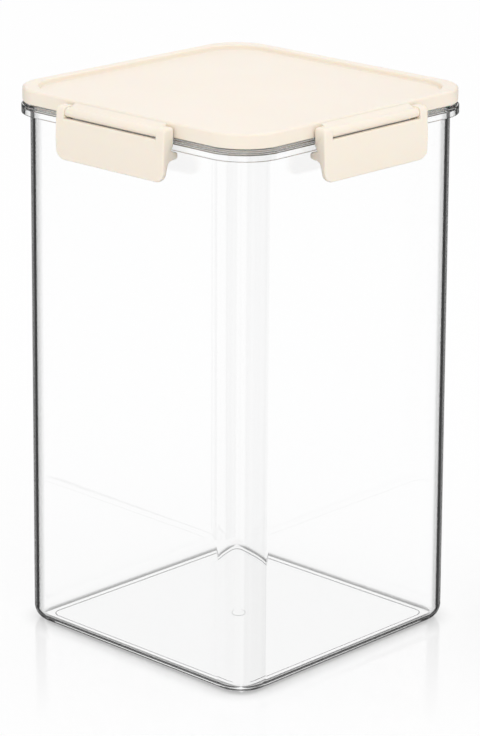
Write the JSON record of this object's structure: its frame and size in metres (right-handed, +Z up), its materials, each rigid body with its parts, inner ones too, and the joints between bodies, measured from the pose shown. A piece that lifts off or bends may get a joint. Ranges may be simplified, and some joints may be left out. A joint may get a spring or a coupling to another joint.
{
  "type": "food storage container",
  "caption": "Tall square clear canister with a lift-off cream lid, a soft seal ring and hinged side latches that hook under the rim.",
  "frame": {"origin": "on the surface that the canister stands on, under the middle of its base", "axes": "+Z up along the canister's height, X and Y square to its sides, with a latch on each side"},
  "size_m": [0.176, 0.176, 0.2726],
  "materials": {
    "clear_plastic": "clear gloss",
    "cream_plastic": "satin",
    "latch_plastic": "satin",
    "silicone": "translucent matte"
  },
  "bodies": {
    "canister": {"canister_body": "clear_plastic"},
    "lid": {"lid_cover": "cream_plastic", "seal_ring": "silicone"},
    "front_latch": {"latch_front": "latch_plastic"},
    "right_latch": {"latch_right": "latch_plastic"},
    "back_latch": {"latch_back": "latch_plastic"},
    "left_latch": {"latch_left": "latch_plastic"}
  },
  "joints": [
    {"name": "lid_lift", "type": "slide", "parent": "canister", "child": "lid", "axis": [0, 0, 1], "range_m": [0, 0.018]},
    {"name": "front_latch_hinge", "type": "hinge", "parent": "lid", "child": "front_latch", "pos_m": [0, -0.0846, 0.268], "axis": [-1, 0, 0], "range_deg": [0, 135]},
    {"name": "right_latch_hinge", "type": "hinge", "parent": "lid", "child": "right_latch", "pos_m": [0.0846, 0, 0.268], "axis": [0, -1, 0], "range_deg": [0, 135]},
    {"name": "back_latch_hinge", "type": "hinge", "parent": "lid", "child": "back_latch", "pos_m": [0, 0.0846, 0.268], "axis": [1, 0, 0], "range_deg": [0, 135]},
    {"name": "left_latch_hinge", "type": "hinge", "parent": "lid", "child": "left_latch", "pos_m": [-0.0846, 0, 0.268], "axis": [0, 1, 0], "range_deg": [0, 135]}
  ],
  "couplings": [
    {"joint": "front_latch_hinge", "follows": "lid_lift", "rad_per_m": 130.8},
    {"joint": "right_latch_hinge", "follows": "lid_lift", "rad_per_m": 130.8},
    {"joint": "back_latch_hinge", "follows": "lid_lift", "rad_per_m": 130.8},
    {"joint": "left_latch_hinge", "follows": "lid_lift", "rad_per_m": 130.8}
  ]
}
